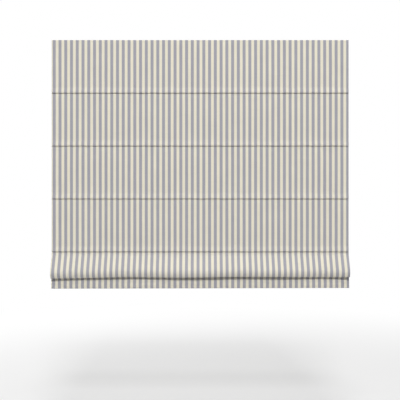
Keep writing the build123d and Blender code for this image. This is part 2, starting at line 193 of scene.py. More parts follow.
class BlindClothSizes(PropertyGroup):
    """Sizes of the face cloth, its folds and its lining."""

    thickness: metres("Cloth thickness", "Thickness of the face cloth", 0.0008)
    lining_thickness: metres("Lining thickness", "Thickness of the lining", 0.0005)
    face_depth: metres("Face depth", "Front outline to the middle of the face cloth", 0.00045)
    band_depth: metres("Band depth", "Front outline to the middle of a side hem's band", 0.00135)
    lining_depth: metres("Lining depth", "Front outline to the middle of the lining", 0.00145)
    rod_depth: metres("Rod depth", "A seam's front to the middle of its rod", 0.0053)
    side_hem: metres("Side hem", "Width of the band turned in at each side", 0.022)
    lining_gap: metres("Lining gap", "Gap between the lining and the turned edges", 0.0003)
    top_turn: metres("Top turn-in", "Depth of the cloth turned in over the top", 0.0043)
    top_radius: metres("Top radius", "Radius of the fold along the top edge", 0.0012)
    crease_depth: metres("Crease depth", "How far a seam is drawn back", 0.0025)
    crease_valley: metres("Valley radius", "Radius at the bottom of a crease", 0.001)
    crease_upper_lip: metres("Upper lip", "Radius of the cloth above a seam", 0.0021)
    crease_lower_lip: metres("Lower lip", "Radius of the cloth below a seam", 0.0022)
    crease_upper_turn: degrees("Upper turn", "How far the cloth above turns into a seam", 88)
    crease_lower_turn: degrees("Lower turn", "How far the cloth below turns out of a seam", 72)
    seam_drop: metres("Seam drop", "How far a crease lies below its rod", 0.0004)
    lip_swell: metres("Lip swell", "How far the cloth beside a seam stands forward", 0.0028)
    lip_swell_drop: metres("Lip swell drop", "Height over which the cloth swells to a seam", 0.024)
    pleat_lip: metres("Pleat lip", "Radius of the cloth where the pleat starts", 0.0035)
    pleat_valley: metres("Pleat valley", "Radius behind the pleat's start", 0.001)
    pleat_reach: metres("Pleat reach", "How far the pleat comes forward", 0.0325)
    pleat_swell: metres("Pleat swell", "Drop over which the pleat comes forward", 0.07663)
    pleat_slope: degrees("Pleat slope", "Slope of the cloth coming forward to the pleat", 28)
    shoulder_radius: metres("Shoulder radius", "Radius above the pleat's toe", 0.030)
    shoulder_turn: degrees("Shoulder turn", "Turn of the pleat's shoulder", 38)
    toe_radius: metres("Toe radius", "Radius of the pleat's lower edge", 0.0055)
    return_lean: degrees("Return lean", "Lean of the cloth going back up inside the pleat", 15.19)
    gather_radius: metres("Gather radius", "Radius of the fold at the gathered rod", 0.0011)
    panel_pitch: metres("Panel pitch", "Cloth between two seams", 0.2136)
    skirt_lean: degrees("Skirt lean", "Lean of the skirt below the pleat", 10)
    skirt_length: metres("Skirt length", "Gathered fold to the hem's bend", 0.1335)
    hem_turn_up: metres("Hem turn-up", "Cloth turned up behind the hem", 0.042)
    hem_radius: metres("Hem radius", "Radius of the hem round the bar", 0.0028)
    hem_bar: metres("Hem bar", "Height of the bar in the hem", 0.027)
    hem_bulge: metres("Hem bulge", "How far the hem's front stands off its bar", 0.0042)
    hem_bulge_rise: metres("Hem bulge rise", "Height of the hem's bulge", 0.062)
    hem_bulge_ends: fraction("Hem bulge at the ends", "Share of the hem's bulge left at its ends", 0.4)
    hem_top_depth: metres("Hem top depth", "Front outline to the middle of the hem's top edge", 0.0019)
    hem_top_lean: degrees("Hem top lean", "Lean of the hem's top edge towards the skirt", 16)
    hem_tilt: metres("Hem tilt", "How much lower the hem hangs at the left", 0.0028)
    billow: metres("Billow", "How far a panel's middle stands forward", 0.0011)
    pucker: metres("Pucker", "Ripple beside each seam", 0.00028)
    column_step: metres("Column step", "Spacing of the mesh across the cloth", 0.0066)
    row_step: metres("Row step", "Spacing of the mesh down the cloth", 0.0095)


class BlindTrimSizes(PropertyGroup):
    """Sizes of the tapes, rings, caps and stitches."""

    tape_front: metres("Tape front", "A seam's front to the front of its tape", 0.002)
    tape_thickness: metres("Tape thickness", "Thickness of the woven tape", 0.0005)
    tape_above: metres("Tape above", "Tape above its seam", 0.009)
    tape_below: metres("Tape below", "Tape below its seam", 0.0045)
    tape_inset: metres("Tape inset", "Blind's edge to the tape's end", 0.008)
    tunnel_radius: metres("Tunnel radius", "Middle of the pocket round the rod", 0.00305)
    ring_radius: metres("Ring radius", "Middle of a cord ring's section", 0.0051)
    ring_section: metres("Ring section", "Radius of a cord ring's section", 0.0009)
    thread: metres("Thread", "Radius of the sewing thread", 0.0002)
    stitch_length: metres("Stitch length", "Length of one stitch", 0.0034)
    stitch_pitch: metres("Stitch pitch", "Spacing of the stitches on a tape", 0.0047)
    slip_pitch: metres("Slip stitch pitch", "Spacing of the hand stitches on a hem", 0.0105)
    slip_slant: degrees("Slip stitch slant", "Slant of the hand stitches on a side hem", 28)
    slip_clearance: metres("Slip stitch clearance", "Seam to the first hand stitch beside it", 0.017)
    cap_wall: metres("Cap wall", "Wall of a rod's end cap", 0.00055)
    cap_grip: metres("Cap grip", "Length of rod inside its cap", 0.008)


class BlindColours(PropertyGroup):
    """Colours of the cloth and the finishes, and the stripe's spacing."""

    cream: hue("Cream", "Pale stripe", 0.80, 0.755, 0.615)
    lilac: hue("Lilac grey", "Dark stripe", 0.340, 0.339, 0.396)
    lining: hue("Lining", "Ivory lining", 0.80, 0.77, 0.69)
    tape: hue("Tape", "Woven tape", 0.80, 0.79, 0.76)
    thread: hue("Thread", "Sewing thread", 0.74, 0.72, 0.66)
    coat: hue("Powder coat", "Rail, bar and brackets", 0.80, 0.80, 0.79)
    moulding: hue("Moulding", "Caps, spools and cases", 0.76, 0.76, 0.74)
    fibre: hue("Glass fibre", "Rods", 0.78, 0.77, 0.71)
    ring: hue("Ring", "Cord rings", 0.86, 0.86, 0.85)
    zinc: hue("Zinc", "Plated shaft", 0.62, 0.63, 0.66)
    spring: hue("Spring steel", "Springs", 0.34, 0.36, 0.40)
    stripe_pitch: metres("Stripe pitch", "Spacing of the dark stripes", 0.02324)
    stripe_centre: metres("Stripe centre", "Middle of one dark stripe", -0.0084)
    stripe_share: fraction("Stripe share", "Dark part of the stripe's pitch", 0.515)
    yarns: amount("Yarns per metre", "Warp yarns in a metre of face cloth", 1450.0)


class BlindStage(PropertyGroup):
    """The camera, the lamps and the floor."""

    camera_distance: metres("Camera distance", "Camera to the cloth", 3.0)
    view_span: metres("View span", "Width of the view at the cloth", 1.616)
    view_drop: metres("View drop", "Cloth's top to the middle of the view", 0.6464)
    view_side: metres("View side", "Blind's middle to the middle of the view", -0.0006)
    sensor: amount("Sensor", "Camera's sensor width in millimetres", 36.0)
    surround: amount("Surround", "Strength of the soft light all round", 0.06)
    key: watts("Key", "Power of the lamp in front", 662.0)
    top: watts("Top", "Power of the lamp overhead", 385.0)
    back: watts("Back", "Power of the lamp behind", 228.0)
    floor_drop: metres("Floor drop", "Cloth's top to the floor", 1.52)
    floor_size: metres("Floor size", "Side of the floor", 14.0)
    floor_colour: hue("Floor", "Colour of the floor", 0.72, 0.72, 0.72)
    floor_veil: fraction("Floor veil", "Share of white that the camera sees on the floor", 0.5)
    floor_near: metres("Floor near", "Distance from the blind at which the floor starts to fade", 1.0)
    floor_far: metres("Floor far", "Distance from the blind at which the floor is white", 3.2)


SETTINGS = {
    "blind_cloth": BlindClothSizes,
    "blind_trim": BlindTrimSizes,
    "blind_colours": BlindColours,
    "blind_stage": BlindStage,
}


# Shader nodes
def add_node(tree, kind, **settings):
    """Add a node to a tree and set its plain values."""
    node = tree.nodes.new(kind)
    for name, value in settings.items():
        setattr(node, name, value)
    return node


def feed(tree, socket, value):
    """Link a socket to another, or give it a plain value."""
    if isinstance(value, bpy.types.NodeSocket):
        tree.links.new(value, socket)
    else:
        socket.default_value = value


def work_out(tree, operation, first, second=0.0, third=0.0):
    """A math node on sockets or numbers."""
    node = add_node(tree, "ShaderNodeMath", operation=operation)
    for socket, value in zip(node.inputs, (first, second, third)):
        feed(tree, socket, value)
    return node.outputs[0]


def spread(tree, value, low, high, to_low, to_high, smooth=False):
    """Map a value from one range to another."""
    node = add_node(tree, "ShaderNodeMapRange", interpolation_type="SMOOTHSTEP" if smooth else "LINEAR")
    names = ("Value", "From Min", "From Max", "To Min", "To Max")
    for name, item in zip(names, (value, low, high, to_low, to_high)):
        feed(tree, node.inputs[name], item)
    return node.outputs["Result"]


def mix_colours(tree, share, first, second):
    """Mix two colours by a share."""
    node = add_node(tree, "ShaderNodeMix", data_type="RGBA")
    for socket, value in ((0, share), (6, first), (7, second)):
        feed(tree, node.inputs[socket], value)
    return node.outputs[2]


def scaled(tree, vector, factor):
    """A vector or a colour times a value."""
    node = add_node(tree, "ShaderNodeVectorMath", operation="SCALE")
    feed(tree, node.inputs[0], vector)
    feed(tree, node.inputs["Scale"], factor)
    return node.outputs[0]


def stretched(tree, vector, scale):
    """A vector scaled along each axis."""
    node = add_node(tree, "ShaderNodeMapping")
    feed(tree, node.inputs["Vector"], vector)
    node.inputs["Scale"].default_value = scale
    return node.outputs["Vector"]


def split_axes(tree, vector):
    """The three values of a vector."""
    node = add_node(tree, "ShaderNodeSeparateXYZ")
    feed(tree, node.inputs[0], vector)
    return node.outputs


def noise(tree, vector, scale=1.0, detail=2.0):
    """A noise value from 0 to 1 at a scale in waves per metre."""
    node = add_node(tree, "ShaderNodeTexNoise")
    settings = {"Vector": vector, "Scale": scale, "Detail": detail, "Roughness": 0.55}
    for name, value in settings.items():
        feed(tree, node.inputs[name], value)
    return node.outputs["Fac"]


def cloth_vector(tree):
    """A cloth's own coordinates: metres across and metres down."""
    return add_node(tree, "ShaderNodeUVMap", uv_map="cloth").outputs["UV"]


def object_vector(tree):
    """The piece's own place in the frame, in metres."""
    return add_node(tree, "ShaderNodeTexCoord").outputs["Object"]


def tinted(colour, share=1.0):
    """A colour made darker or paler by a share, with full alpha."""
    return (*(min(1.0, tone * share) for tone in colour), 1.0)


# Effects that several finishes share
def new_group(name, inputs, outputs):
    """An empty group with a vector and named values in and named values out: its tree and end sockets."""
    tree = bpy.data.node_groups.new(name, "ShaderNodeTree")
    tree.interface.new_socket("Vector", in_out="INPUT", socket_type="NodeSocketVector")
    for direction, sockets in (("INPUT", inputs), ("OUTPUT", outputs)):
        for socket in sockets:
            tree.interface.new_socket(socket, in_out=direction, socket_type="NodeSocketFloat")
    return tree, add_node(tree, "NodeGroupInput").outputs, add_node(tree, "NodeGroupOutput").inputs


def make_weave_group():
    """Plain weave on a cloth's own coordinates: its height, and where the lengthwise yarn lies on top."""
    tree, given, result = new_group("plain_weave", ("Across", "Down"), ("Height", "Warp"))
    axes = split_axes(tree, given["Vector"])
    waves = []
    for axis, density in enumerate(("Across", "Down")):
        turns = work_out(tree, "MULTIPLY", axes[axis], given[density])
        waves.append(work_out(tree, "SINE", work_out(tree, "MULTIPLY", turns, pi)))
    crossing = work_out(tree, "MULTIPLY", *waves)
    feed(tree, result["Height"], work_out(tree, "ABSOLUTE", crossing))
    feed(tree, result["Warp"], spread(tree, crossing, -0.4, 0.4, 0.0, 1.0))


def make_slub_group():
    """Uneven yarns: long faint streaks down and across a cloth, about one."""
    tree, given, result = new_group("slub_streaks", ("Amount",), ("Shade",))
    down = noise(tree, stretched(tree, given["Vector"], (700.0, 9.0, 1.0)))
    across = noise(tree, stretched(tree, given["Vector"], (11.0, 620.0, 1.0)))
    cloudy = noise(tree, given["Vector"], scale=14.0)
    total = work_out(tree, "ADD", work_out(tree, "ADD", down, across), cloudy)
    centred = work_out(tree, "SUBTRACT", total, 1.5)
    feed(tree, result["Shade"], work_out(tree, "MULTIPLY_ADD", centred, given["Amount"], 1.0))


def make_handling_group():
    """Handling marks: a soft mottle for roughness and a faint grime for colour."""
    tree, given, result = new_group("handling_marks", ("Scale", "Roughness"), ("Roughness", "Grime"))
    mottle = noise(tree, scaled(tree, given["Vector"], given["Scale"]), detail=5.0)
    offset = work_out(tree, "MULTIPLY", work_out(tree, "SUBTRACT", mottle, 0.5), 0.22)
    feed(tree, result["Roughness"], work_out(tree, "ADD", given["Roughness"], offset))
    feed(tree, result["Grime"], spread(tree, mottle, 0.52, 0.72, 0.0, 1.0))


def place_group(tree, name, **inputs):
    """Place a shared group in a material, with its own values."""
    node = add_node(tree, "ShaderNodeGroup", node_tree=bpy.data.node_groups[name])
    for socket, value in inputs.items():
        feed(tree, node.inputs[socket], value)
    return node.outputs


def lay_weave(tree, yarns, weft_share, slub, hollow_shade):
    """A plain weave with uneven yarns: its sockets, and the uneven yarns' tone times a painted shade that darkens
    the weave's hollows.
    """
    vector = cloth_vector(tree)
    weave = place_group(tree, "plain_weave", Vector=vector, Across=yarns, Down=yarns * weft_share)
    streaks = place_group(tree, "slub_streaks", Vector=vector, Amount=slub)["Shade"]
    # The colour is made darker where the weave is low: painted shade in the hollows between the yarns
    return weave, work_out(tree, "MULTIPLY", streaks, spread(tree, weave["Height"], 0.0, 1.0, hollow_shade, 1.02))


def add_marks(tree, shader, vector, scale, roughness):
    """Handling marks that vary a shader's roughness. Gives the mask of their grime."""
    marks = place_group(tree, "handling_marks", Vector=vector, Scale=scale, Roughness=roughness)
    feed(tree, shader.inputs["Roughness"], marks["Roughness"])
    return marks["Grime"]


def raise_surface(tree, shader, height, distance, strength):
    """Feed a height to the shader's normal."""
    bump = add_node(tree, "ShaderNodeBump")
    for name, value in (("Strength", strength), ("Distance", distance), ("Height", height)):
        feed(tree, bump.inputs[name], value)
    feed(tree, shader.inputs["Normal"], bump.outputs["Normal"])


# Finishes
def start_material(name, settings):
    """A new material's tree, and its shader with plain values set."""
    material = bpy.data.materials.new(name)
    material.use_nodes = True
    shader = material.node_tree.nodes["Principled BSDF"]
    for setting, value in settings.items():
        shader.inputs[setting].default_value = value
    return material.node_tree, shader


def make_stripe_material(colours):
    """Face cloth: a woven ticking stripe of cream and lilac grey."""
    cotton = {"Roughness": 0.88, "Sheen Weight": 0.12, "Sheen Roughness": 0.45, "Specular IOR Level": 0.25}
    tree, shader = start_material("ticking_stripe", cotton)
    across = split_axes(tree, cloth_vector(tree))[0]
    offset = 0.5 - colours.stripe_centre / colours.stripe_pitch
    turns = work_out(tree, "MULTIPLY_ADD", across, 1.0 / colours.stripe_pitch, offset)
    place = work_out(tree, "ABSOLUTE", work_out(tree, "SUBTRACT", work_out(tree, "FRACT", turns), 0.5))
    edge = colours.stripe_share / 2
    dark = spread(tree, place, edge - STRIPE_BLUR_SHARE, edge + STRIPE_BLUR_SHARE, 1.0, 0.0, smooth=True)
    stripe = mix_colours(tree, dark, tinted(colours.cream), tinted(colours.lilac))
    weave, shade = lay_weave(tree, colours.yarns, weft_share=0.86, slub=0.085, hollow_shade=0.955)
    weft = work_out(tree, "MULTIPLY_ADD", weave["Warp"], -0.12, 0.12)
    yarn = mix_colours(tree, weft, stripe, tinted(colours.cream))
    feed(tree, shader.inputs["Base Color"], scaled(tree, yarn, shade))
    raise_surface(tree, shader, weave["Height"], distance=0.00018, strength=0.55)


def make_plain_cloth_material(name, colour, yarns, sheen, slub):
    """A plain woven cloth of one colour."""
    tree, shader = start_material(name, {"Roughness": 0.86, "Sheen Weight": sheen, "Specular IOR Level": 0.3})
    weave, shade = lay_weave(tree, yarns, weft_share=0.8, slub=slub, hollow_shade=0.95)
    feed(tree, shader.inputs["Base Color"], scaled(tree, colour, shade))
    raise_surface(tree, shader, weave["Height"], distance=0.00016, strength=0.5)


def make_thread_material(colour):
    """Sewing thread with its twist."""
    tree, shader = start_material("sewing_thread", {"Roughness": 0.7})
    twist = add_node(tree, "ShaderNodeTexWave", wave_type="BANDS", bands_direction="DIAGONAL")
    feed(tree, twist.inputs["Vector"], object_vector(tree))
    twist.inputs["Scale"].default_value = 900.0
    strand = mix_colours(tree, twist.outputs["Fac"], tinted(colour, 0.86), tinted(colour))
    feed(tree, shader.inputs["Base Color"], strand)
    raise_surface(tree, shader, twist.outputs["Fac"], distance=0.0001, strength=0.6)


def make_coat_material(colour):
    """Powder coat on an extrusion: fine orange peel and faint lines along the rail."""
    tree, shader = start_material("powder_coat", {"Roughness": 0.42})
    vector = object_vector(tree)
    grime = work_out(tree, "MULTIPLY", add_marks(tree, shader, vector, scale=46.0, roughness=0.42), 0.35)
    feed(tree, shader.inputs["Base Color"], mix_colours(tree, grime, tinted(colour), tinted(colour, 0.9)))
    lines = noise(tree, stretched(tree, vector, (3.0, 900.0, 900.0)))
    peel = noise(tree, vector, scale=1300.0, detail=1.0)
    height = work_out(tree, "MULTIPLY_ADD", lines, 0.5, peel)
    raise_surface(tree, shader, height, distance=0.00006, strength=0.5)


def make_moulding_material(name, colour, roughness, grain):
    """Moulded plastic: a fine spark grain and soft flow marks."""
    tree, shader = start_material(name, {"Roughness": roughness})
    vector = object_vector(tree)
    add_marks(tree, shader, vector, scale=90.0, roughness=roughness)
    flow = noise(tree, stretched(tree, vector, (30.0, 160.0, 160.0)))
    tone = mix_colours(tree, flow, tinted(colour, 0.93), tinted(colour, 1.05))
    feed(tree, shader.inputs["Base Color"], tone)
    raise_surface(tree, shader, noise(tree, vector, grain), distance=0.00005, strength=0.5)


def make_fibre_material(colour):
    """Pulled glass fibre: long streaks of glass along the rod."""
    tree, shader = start_material("glass_fibre", {"Roughness": 0.34, "Coat Weight": 0.25})
    strands = noise(tree, stretched(tree, object_vector(tree), (5.0, 2600.0, 2600.0)), detail=3.0)
    streak = spread(tree, strands, 0.3, 0.7, 0.0, 1.0)
    feed(tree, shader.inputs["Base Color"], mix_colours(tree, streak, tinted(colour, 0.84), tinted(colour)))
    feed(tree, shader.inputs["Roughness"], spread(tree, strands, 0.0, 1.0, 0.26, 0.46))
    raise_surface(tree, shader, strands, distance=0.00005, strength=0.4)


def make_metal_material(name, colour, roughness, line_scale):
    """Drawn or rolled steel: fine lines along it and a patchy lustre."""
    tree, shader = start_material(name, {"Roughness": roughness, "Metallic": 1.0})
    vector = object_vector(tree)
    grime = add_marks(tree, shader, vector, scale=120.0, roughness=roughness)
    feed(tree, shader.inputs["Base Color"], mix_colours(tree, grime, tinted(colour), tinted(colour, 0.78)))
    lines = noise(tree, stretched(tree, vector, line_scale))
    raise_surface(tree, shader, lines, distance=0.00003, strength=0.5)


def make_pile_material(name, colour, scale, depth):
    """The pile of a fastening tape: hooks or loops, with painted shade darkening the colour between their tips."""
    tree, shader = start_material(name, {"Roughness": 0.8, "Sheen Weight": 0.2})
    cells = add_node(tree, "ShaderNodeTexVoronoi", feature="F1")
    feed(tree, cells.inputs["Vector"], object_vector(tree))
    cells.inputs["Scale"].default_value = scale
    tips_and_shade = spread(tree, cells.outputs["Distance"], 0.0, 0.7, 1.0, 0.0)
    # The colour darkens away from each tip: painted shade between the hooks or loops
    feed(tree, shader.inputs["Base Color"], mix_colours(tree, tips_and_shade, tinted(colour, 0.7), tinted(colour)))
    raise_surface(tree, shader, tips_and_shade, distance=depth, strength=0.8)


def make_finishes(colours):
    """Make the shared groups and every finish."""
    make_weave_group()
    make_slub_group()
    make_handling_group()
    make_stripe_material(colours)
    make_plain_cloth_material("lining_sateen", colours.lining, yarns=2100.0, sheen=0.25, slub=0.05)
    make_plain_cloth_material("woven_tape", colours.tape, yarns=1600.0, sheen=0.1, slub=0.07)
    make_thread_material(colours.thread)
    make_coat_material(colours.coat)
    make_moulding_material("moulded_parts", colours.moulding, roughness=0.46, grain=2200.0)
    make_moulding_material("ring_moulding", colours.ring, roughness=0.3, grain=900.0)
    make_fibre_material(colours.fibre)
    make_metal_material("zinc_plate", colours.zinc, roughness=0.36, line_scale=(4.0, 1500.0, 1500.0))
    make_metal_material("spring_steel", colours.spring, roughness=0.3, line_scale=(1500.0, 60.0, 60.0))
    make_pile_material("hook_pile", colours.tape, scale=900.0, depth=0.0006)
    make_pile_material("loop_pile", colours.tape, scale=1500.0, depth=0.0004)


# Working on pieces
def deselect_all():
    """Deselect every object, so that an operator acts on the new one alone."""
    for other in bpy.context.selected_objects:
        other.select_set(False)


def make_active(piece):
    """Select one piece alone and make it active."""
    deselect_all()
    piece.select_set(True)
    bpy.context.view_layer.objects.active = piece


def select_parts(piece, kind, wanted):
    """Go into edit mode with the points or faces selected that a test wants."""
    make_active(piece)
    bpy.ops.object.mode_set(mode="EDIT")
    bpy.ops.mesh.select_mode(type=kind)
    bpy.ops.mesh.select_all(action="DESELECT")
    bpy.ops.object.mode_set(mode="OBJECT")
    for part in piece.data.vertices if kind == "VERT" else piece.data.polygons:
        part.select = wanted(part)
    bpy.ops.object.mode_set(mode="EDIT")


def apply_modifier(piece, kind, **settings):
    """Add a modifier to a piece and apply it."""
    make_active(piece)
    modifier = piece.modifiers.new(kind.title(), kind)
    for name, value in settings.items():
        setattr(modifier, name, value)
    bpy.ops.object.modifier_apply(modifier=modifier.name)


def thicken(piece, thickness):
    """Give a sheet its thickness, half to each side, and smooth it between its edges."""
    apply_modifier(piece, "SOLIDIFY", thickness=thickness, offset=0.0, use_even_offset=False)
    bpy.ops.object.shade_smooth_by_angle(angle=SMOOTH_ANGLE)


def join_pieces(pieces, name):
    """Join pieces into the first of them, under a name."""
    make_active(pieces[0])
    for other in pieces[1:]:
        other.select_set(True)
    bpy.ops.object.join()
    pieces[0].name = name
    return pieces[0]


def copy_of(piece, place):
    """A copy of a piece with its own mesh, laid by a matrix."""
    twin = piece.copy()
    twin.data = piece.data.copy()
    twin.data.transform(place)
    bpy.context.scene.collection.objects.link(twin)
    return twin


def discard(piece):
    """Remove a piece that was only the pattern for its copies."""
    mesh = piece.data
    bpy.data.objects.remove(piece)
    bpy.data.meshes.remove(mesh)


def paint(piece, finish):
    """Give a piece one finish, by its name."""
    piece.data.materials.clear()
    piece.data.materials.append(bpy.data.materials[finish])


def hang(piece, body, slot, *nodes):
    """Give a piece its body and hide the nodes that it stands for. The slot is not used."""
    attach(piece, body)
    if nodes:
        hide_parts(*nodes)


def dress(piece, finish, body, slot, *nodes):
    """Paint and hang a piece."""
    paint(piece, finish)
    hang(piece, body, slot, *nodes)
    return piece


def fold_with_lift(piece):
    """Give a piece between the rail and the last seam its own copy of its mesh."""
    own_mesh(piece)


# Cloth runs: straight stretches and bends down the front outline
def straight(length):
    """A straight stretch of a cloth run."""
    return (length, 0.0, 0.0)


def bend(radius, turn):
    """A bend in a cloth run: towards the back of a downward run if positive."""
    return (0.0, radius, turn)


def run_length(run):
    """Length of a run's front outline."""
    return sum(length + radius * abs(turn) for length, radius, turn in run)


def stations_along(run, first, step):
    """Stations down a run's front outline, from its first station."""
    stations = [first]
    for length, radius, turn in run:
        y, z, heading, path = stations[-1]
        if turn:
            parts = max(LEAST_ARC_PARTS, ceil(abs(turn) / ARC_STEP))
        else:
            parts = max(1, ceil(length / step))
        side = copysign(radius, turn)
        for part in range(1, parts + 1):
            share = part / parts
            after = heading + turn * share
            if turn:
                forward = side * (cos(heading) - cos(after))
                rise = side * (sin(heading) - sin(after))
            else:
                forward = sin(heading) * length * share
                rise = -cos(heading) * length * share
            gone = (length + radius * abs(turn)) * share
            stations.append(Station(y + forward, z + rise, after, path + gone))
    return stations


def run_drop(run):
    """How far a run that starts straight down goes down."""
    return -stations_along(run, Station(0.0, 0.0, STRAIGHT_DOWN, 0.0), 1.0)[-1].z


def behind(station, depth):
    """The point at a depth behind a station."""
    return Vector((0.0, station.y + cos(station.heading) * depth, station.z + sin(station.heading) * depth))


def swell_bends(drop, reach):
    """Two equal bends that bring a downward run forward by a reach over a drop."""
    turn = 2 * atan2(reach, drop)
    radius = drop / (2 * sin(turn))
    return [bend(radius, -turn), bend(radius, turn)]


def sloping_bends(drop, reach, slope):
    """Two equal bends with a straight slope between them, forward by a reach over a drop."""
    radius = (drop - reach / tan(slope)) / (2 * tan(slope / 2))
    length = (reach - 2 * radius * (1 - cos(slope))) / sin(slope)
    return [bend(radius, -slope), straight(length), bend(radius, slope)]


def crease_wall(sizes, depth, lip, turn):
    """The straight wall between a crease's lip and its valley."""
    return straight((depth - (sizes.crease_valley + lip) * (1 - cos(turn))) / sin(turn))


def into_crease(sizes):
    """From a flat panel, swelling over its lip, to the bottom of the crease below it."""
    lip = sizes.crease_upper_lip
    turn = sizes.crease_upper_turn
    wall = crease_wall(sizes, sizes.crease_depth + sizes.lip_swell, lip, turn)
    swell = swell_bends(sizes.lip_swell_drop, sizes.lip_swell)
    return swell + [bend(lip, turn), wall, bend(sizes.crease_valley, -turn)]


def out_of_crease(sizes):
    """From the bottom of a crease to the flat panel below it."""
    lip = sizes.crease_lower_lip
    turn = sizes.crease_lower_turn
    wall = crease_wall(sizes, sizes.crease_depth, lip, turn)
    return [bend(sizes.crease_valley, -turn), wall, bend(lip, turn)]


def flat_run(sizes):
    """Flat panels with a crease at each seam, from the rail to the bottom of the last crease."""
    upper = run_drop(into_crease(sizes))
    both = run_drop(into_crease(sizes) + out_of_crease(sizes))
    run = [straight(first_panel(sizes) - upper)] + into_crease(sizes)
    for seam in FLAT_SEAMS[1:]:
        run += out_of_crease(sizes)
        run += [straight(sizes.panel_pitch - both)] + into_crease(sizes)
    return run


def first_panel(sizes):
    """Drop from the fold's anchor at the rail to the first crease."""
    return FOLD_ANCHOR - SEAM_LEVELS[0] + sizes.seam_drop


def pleat_bends(sizes):
    """From the last seam, forward and down to the pleat's toe."""
    start = acos(1 - sizes.crease_depth / (sizes.pleat_valley + sizes.pleat_lip))
    toe = pi - sizes.return_lean - sizes.shoulder_turn
    return [
        bend(sizes.pleat_valley, -start),
        bend(sizes.pleat_lip, start),
        *sloping_bends(sizes.pleat_swell - sizes.seam_drop, sizes.pleat_reach, sizes.pleat_slope),
        bend(sizes.shoulder_radius, sizes.shoulder_turn),
        bend(sizes.toe_radius, toe),
    ]


def gather_run(sizes):
    """The whole pleat, ending in the fold at the gathered rod."""
    bends = pleat_bends(sizes)
    gather = bend(sizes.gather_radius, -(pi - sizes.return_lean + sizes.skirt_lean))
    back_up = sizes.panel_pitch - sizes.seam_drop - run_length(bends) - run_length([gather]) / 2
    return bends + [straight(back_up), gather]


def lined_run(sizes):
    """The pleat and the skirt, down to the hem's top edge."""
    return gather_run(sizes) + [straight(sizes.skirt_length - sizes.hem_turn_up - sizes.thickness)]


# Where the cloth lies, and how it departs from its plain section
def valley_front(sizes):
    """Depth of the seams' front, taken from the first rod."""
    return ROD_CENTRES[1].y - sizes.rod_depth


def panel_front(sizes):
    """Depth of the flat panels' front."""
    return valley_front(sizes) - sizes.crease_depth


def smooth_share(value, low, high):
    """A share that rises smoothly from 0 at low to 1 at high."""
    share = min(1.0, max(0.0, (value - low) / (high - low)))
    return share * share * (3 - 2 * share)


def calm_at(x):
    """A share that falls to 0 at the side hems, where the cloth is stiff."""
    return smooth_share(BLIND_WIDTH / 2 - abs(x), 0.0, EDGE_CALM)


def waves_at(waves, x, number=1):
    """The sum of some waves at a place across the blind."""
    return sum(size * sin(rate * x + start * number) for size, rate, start in waves)


def edge_wave(x):
    """How far the pleat's lower edge hangs below its mean, across the blind."""
    across = (x / BLIND_WIDTH + 0.5) * pi
    return sum(size * cos(number * across) for number, size in enumerate(EDGE_WAVE, 1))


def panel_stand(sizes, x, z):
    """How far the cloth of a flat panel stands forward: a slack billow and puckers at its seams."""
    for number, (upper, lower) in enumerate(PANELS):
        if lower <= z <= upper:
            break
    else:
        return 0.0
    arch = sin(pi * (upper - z) / (upper - lower)) ** 2
    sway = PANEL_SLACK + waves_at(PANEL_SWAY, x, number)
    near = exp(-(z - lower) / PUCKER_REACH)
    near += exp(-(upper - z) / PUCKER_REACH) if number else 0.0
    ripple = sum(sin(2 * pi * x / wave + start + RIPPLE_TURN * number) for wave, start in RIPPLES)
    seam_hold = smooth_share(min(upper - z, z - lower), 0.0, PUCKER_HOLD)
    return (sizes.billow * arch * sway + sizes.pucker * near * ripple * seam_hold) * calm_at(x)


def no_shift(station, x):
    """Cloth that keeps its plain section."""
    return Vector()


def panel_shift(sizes, share=1.0):
    """How the flat panels stand forward, or a share of it."""
    return lambda station, x: Vector((0.0, -share * panel_stand(sizes, x, station.z), 0.0))


def hem_forward(sizes, below, calm):
    """How far the hem's front swells forward, or its back closes on the skirt, at a path below its bend."""
    up = max(-below, below - pi * sizes.hem_radius, 0.0)
    rise = min(1.0, up / sizes.hem_bulge_rise)
    ends = sizes.hem_bulge_ends + (1 - sizes.hem_bulge_ends) * calm
    bulge = sizes.hem_bulge * PEAK_OF_BULGE * rise * (1 - rise) ** 2 * ends
    if below < 0:
        return bulge
    gap = 2 * sizes.hem_radius - sizes.face_depth - sizes.hem_top_depth - sizes.thickness * (1 - calm)
    return (bulge + gap) * smooth_share(up, sizes.hem_bar, sizes.hem_turn_up)


def pleat_shift(sizes, start_path):
    """How the pleat and skirt hang unevenly across the blind, down a run from a path length."""
    toe = run_length(pleat_bends(sizes))
    gathered = run_length(gather_run(sizes))
    hem = gathered + sizes.skirt_length

    def shift(station, x):
        down = station.path - start_path
        if down <= toe:
            share = smooth_share(down, 0.0, toe)
        else:
            share = 1 - smooth_share(down, toe, gathered)
        tilt = sizes.hem_tilt * (0.5 - x / BLIND_WIDTH) * smooth_share(down, gathered, hem)
        calm = calm_at(x)
        forward = waves_at(PLEAT_SWAY, x) * calm * share + hem_forward(sizes, down - hem, calm)
        return Vector((0.0, -forward, -edge_wave(x) * share - tilt))

    return shift


# Sheets
def columns_across(half, step):
    """Even columns across the cloth, from one side to the other."""
    count = ceil(2 * half / step)
    return [half * (2 * number / count - 1) for number in range(count + 1)]


def plain_row(station, columns, depth, shift):
    """One row of a sheet: in each column a point, and its place on the flat cloth."""
    cells = {}
    for column, x in enumerate(columns):
        point = behind(station, depth) + shift(station, x)
        point.x = x
        cells[column] = (point, (x, -station.path))
    return cells


